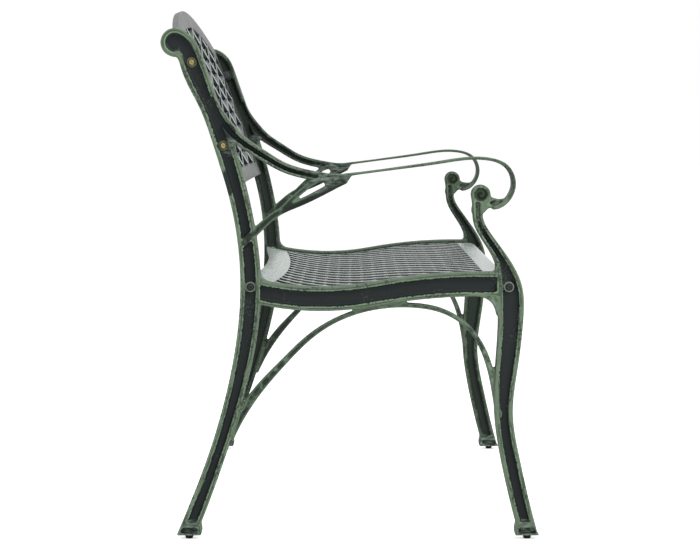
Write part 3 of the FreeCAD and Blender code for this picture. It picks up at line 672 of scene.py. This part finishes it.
# %% [markdown]
# ## Faces of the panels that are painted pale
# On the seat, all that looks up is pale and the rest stays dark. On the backrest the border stays dark,
# while the bars, the upper walls of the bars and the ends of the panel are pale. The paler bars, most of
# all the rear layer, and the paler upper walls are painted light, and the dark lower walls painted shade.
# The layers of the lattice can't be told apart by their normals, so each face is sorted by its depth
# behind the border. For that the panel's slope is read from two of its bolts, and its slight bow is taken
# off first. A value is stored for each face, not each point, so that the colour changes at an edge and
# doesn't blend across it.

# %% Pale faces of the seat
UPWARD = 0.7

seat, backrest = (piece.data for piece in panels)
seat_tops = [p.normal.z > UPWARD for p in seat.polygons]
store(seat, "rubbed", seat_tops, "FACE")
print("rubbed faces of the seat:", sum(seat_tops))

# %% Depth of each face of the backrest behind its border
BACK_BOW = 2 * MM
PANEL_HALF = 474.4 * MM
# The foremost twentieth of all that looks forward may be lugs, and what comes next is the border
BORDER_SHARE = 0.05
FACING = 0.85

middles = np.array([p.center for p in backrest.polygons])
normals = np.array([p.normal for p in backrest.polygons])
areas = np.array([p.area for p in backrest.polygons])
low, top = (np.mean([v.co for v in nodes[f"backrest_washer_left_{name}"].data.vertices], axis=0)
            for name in ("low", "top"))
rise = top - low
forward = np.array([0, -rise[2], rise[1]]) / np.linalg.norm(rise)
looks = normals @ forward
looks_forward = looks > FACING
from_middle = np.abs(middles[:, 0])
depths = -(middles @ forward) - BACK_BOW * (1 - (from_middle / PANEL_HALF) ** 2)
order = np.argsort(np.where(looks_forward, depths, np.inf))
area_so_far = np.cumsum(areas[order] * looks_forward[order])
depths -= depths[order][np.searchsorted(area_so_far, BORDER_SHARE * area_so_far[-1])]
print("depths of the backrest's faces in mm:", depths.min() / MM, "to", depths.max() / MM)

# %% Faces of the backrest that are painted pale, partly as painted light
FRONT_BARS_FROM = 0.6 * MM
REAR_BARS_FROM = 1.15 * MM
LUGS_FROM = 1 * MM
# How far the normal of a bar's wall leans along the bench, and the most that it leans forward
BAR_LEAN = 0.27
LEAN_SLACK = 0.06
FORWARD_LEAN = 0.3
END_SLACK = 0.3 * MM

rear_bars = looks_forward & (depths > REAR_BARS_FROM)
front_bars = looks_forward & (depths > FRONT_BARS_FROM) & ~rear_bars
bar_walls = (np.abs(np.abs(normals[:, 0]) - BAR_LEAN) < LEAN_SLACK) & (np.abs(looks) < FORWARD_LEAN)
upper_walls = bar_walls & (normals[:, 2] > 0)
panel_ends = (np.abs(normals[:, 0]) > FACING) & (np.abs(from_middle - PANEL_HALF) < END_SLACK)
lugs = (depths < -LUGS_FROM) & ~panel_ends
border = ~(rear_bars | front_bars | bar_walls | (looks < -FACING) | lugs | panel_ends)
# How pale each kind of face is painted, from 0 for the dark colour to 1 for the ends of the panel. The paler
# rear bars and upper walls are painted light, and the dark lower walls are painted shade
store(backrest, "rubbed",
      0.1 * border + 0.35 * front_bars + 0.5 * upper_walls + 0.85 * rear_bars + panel_ends, "FACE")
print("faces of border, front bars, rear bars:", border.sum(), front_bars.sum(), rear_bars.sum())

# %% [markdown]
# ## Worn powder coat on the panels
# The panels carry a plainer coat, rubbed thin: grey on the seat and charcoal on the backrest, both with a
# breath of green. The seat is the smoother of the two. A smooth skin seen along its surface mirrors the
# white room, which is why the seat's strips look silver from the end of the bench and dark from above.
# The silver could be painted on, but then it would stay from every side, so it is left to the reflection.

# %% Worn powder coat on the panels
PATCH_MM = 40
GRAIN_MM = 6
SATIN_SPREAD = 0.12


def worn_panel_coat(name, hidden, bare, covered, smoothest):
    """Powder coat in patches of two colours and of two degrees of gloss, dark where a face is not painted
    pale, which on the backrest's lower bar walls is a painted shade.
    """
    material, tree = new_material(name)
    place = add(tree, "ShaderNodeTexCoord").outputs["Object"]
    rubbed = add(tree, "ShaderNodeAttribute", attribute_name="rubbed").outputs["Fac"]
    patches = add(tree, "ShaderNodeTexNoise", {"Vector": place, "Scale": 1 / (PATCH_MM * MM), "Detail": 4.0,
                                               "Roughness": 0.6}).outputs[0]
    grain = add(tree, "ShaderNodeTexNoise", {"Vector": place, "Scale": 1 / (GRAIN_MM * MM),
                                             "Detail": 3.0}).outputs[0]
    cover = add(tree, "ShaderNodeMath", {0: patches, 1: grain}, operation="ADD").outputs[0]
    green = add(tree, "ShaderNodeMapRange", {"Value": cover, "From Min": 0.85, "From Max": 1.15,
                                             "To Max": 0.8}).outputs[0]
    worn = add(tree, "ShaderNodeMix", {0: green, 6: linear(bare), 7: linear(covered)},
               data_type="RGBA").outputs[2]
    colour = add(tree, "ShaderNodeMix", {0: rubbed, 6: linear(hidden), 7: worn}, data_type="RGBA").outputs[2]
    satin = add(tree, "ShaderNodeMapRange", {"Value": cover, "From Min": 0.8, "From Max": 1.2,
                                             "To Min": smoothest,
                                             "To Max": smoothest + SATIN_SPREAD}).outputs[0]
    skin = add(tree, "ShaderNodeBsdfPrincipled", {"Base Color": colour, "Roughness": satin, "IOR": 1.5})
    add(tree, "ShaderNodeOutputMaterial", {"Surface": skin.outputs[0]})
    return material


seat_coat = worn_panel_coat("grey powder coat rubbed smooth", "#3a4140", "#8b9391", "#98a49b", 0.24)
backrest_coat = worn_panel_coat("charcoal powder coat rubbed smooth", "#1c2122", "#98a2a4", "#b0bcb3", 0.40)
for piece, coat in zip(panels, (seat_coat, backrest_coat)):
    piece.data.materials.append(coat)
    print(piece.name, "has", coat.name)

# %% [markdown]
# ## Bolts, washers and glides
# The backrest is held by yellow passivated bolts, whose washers have dulled. The seat is held by black
# bolts, and their washers keep a rubbed green ring round a dark middle. The glides are moulded in black
# plastic. All of them are copies of the CAD pieces with their corners broken. The ring could be a piece of
# its own, but on the real washer it is only paint, so it is a mask that follows the distance from the bolt.

# %% Finishes of the small parts
STAIN_MM = 3
STAIN_SPREAD = 0.1
# The ring of a seat washer starts between these distances from the middle of its bolt
RING_START_MM = (5.9, 6.3)


def plated_steel(name, hex_value, roughness):
    """Zinc plated steel with a passivation: a thin coloured film on metal, a little uneven."""
    material, tree = new_material(name)
    place = add(tree, "ShaderNodeTexCoord").outputs["Object"]
    stain = add(tree, "ShaderNodeTexNoise", {"Vector": place, "Scale": 1 / (STAIN_MM * MM),
                                             "Detail": 2.0}).outputs[0]
    dull = add(tree, "ShaderNodeMapRange", {"Value": stain, "To Min": roughness - STAIN_SPREAD,
                                            "To Max": roughness + STAIN_SPREAD}).outputs[0]
    skin = add(tree, "ShaderNodeBsdfPrincipled", {"Base Color": linear(hex_value), "Metallic": 0.8,
                                                  "Roughness": dull})
    add(tree, "ShaderNodeOutputMaterial", {"Surface": skin.outputs[0]})
    return material


def matt_black(name, hex_value, roughness):
    """A dull black skin, moulded or chemically blackened."""
    material, tree = new_material(name)
    skin = add(tree, "ShaderNodeBsdfPrincipled", {"Base Color": linear(hex_value), "Roughness": roughness,
                                                  "IOR": 1.5})
    add(tree, "ShaderNodeOutputMaterial", {"Surface": skin.outputs[0]})
    return material


def ringed_washer():
    """A blackened washer whose outer ring is rubbed green; the ring follows the distance from the bolt."""
    material, tree = new_material("blackened washer with a rubbed rim")
    from_bolt = add(tree, "ShaderNodeAttribute", attribute_name="from_bolt").outputs["Fac"]
    ring = add(tree, "ShaderNodeMapRange", {"Value": from_bolt, "From Min": RING_START_MM[0],
                                            "From Max": RING_START_MM[1]}).outputs[0]
    colour = add(tree, "ShaderNodeMix", {0: ring, 6: linear("#1b1e1e"), 7: linear("#6f7b71")},
                 data_type="RGBA").outputs[2]
    skin = add(tree, "ShaderNodeBsdfPrincipled", {"Base Color": colour, "Roughness": 0.5, "IOR": 1.5})
    add(tree, "ShaderNodeOutputMaterial", {"Surface": skin.outputs[0]})
    return material


finishes = {
    "backrest_bolt": plated_steel("yellow passivated steel", "#aaa075", 0.45),
    "backrest_washer": plated_steel("dulled yellow passivated steel", "#66694e", 0.55),
    "seat_bolt": matt_black("black oxide steel", "#171a1a", 0.5),
    "seat_washer": ringed_washer(),
    "glide": matt_black("black polyethylene", "#111212", 0.55),
}
print("finishes of small parts:", len(finishes))

# %% Bolts, washers and glides with broken corners
SMALL_BEVEL = 0.25 * MM

for slot, finish in finishes.items():
    for node in [name for name in nodes if name.startswith(slot)]:
        piece = bevelled_copy(node, f"{node}_finished", SMALL_BEVEL)
        piece.data.materials.append(finish)
        if slot == "seat_washer":
            spots = side_view(piece)
            middle = (spots.min(axis=0) + spots.max(axis=0)) / 2
            store(piece.data, "from_bolt", np.linalg.norm(spots - middle, axis=1) / MM)
    print(slot, "finished")

# %% [markdown]
# Dressing the pieces must not change the size of the bench. Its corners could be compared by eye, but a
# few millimetres don't show.

# %% Finish
bpy.context.view_layer.update()
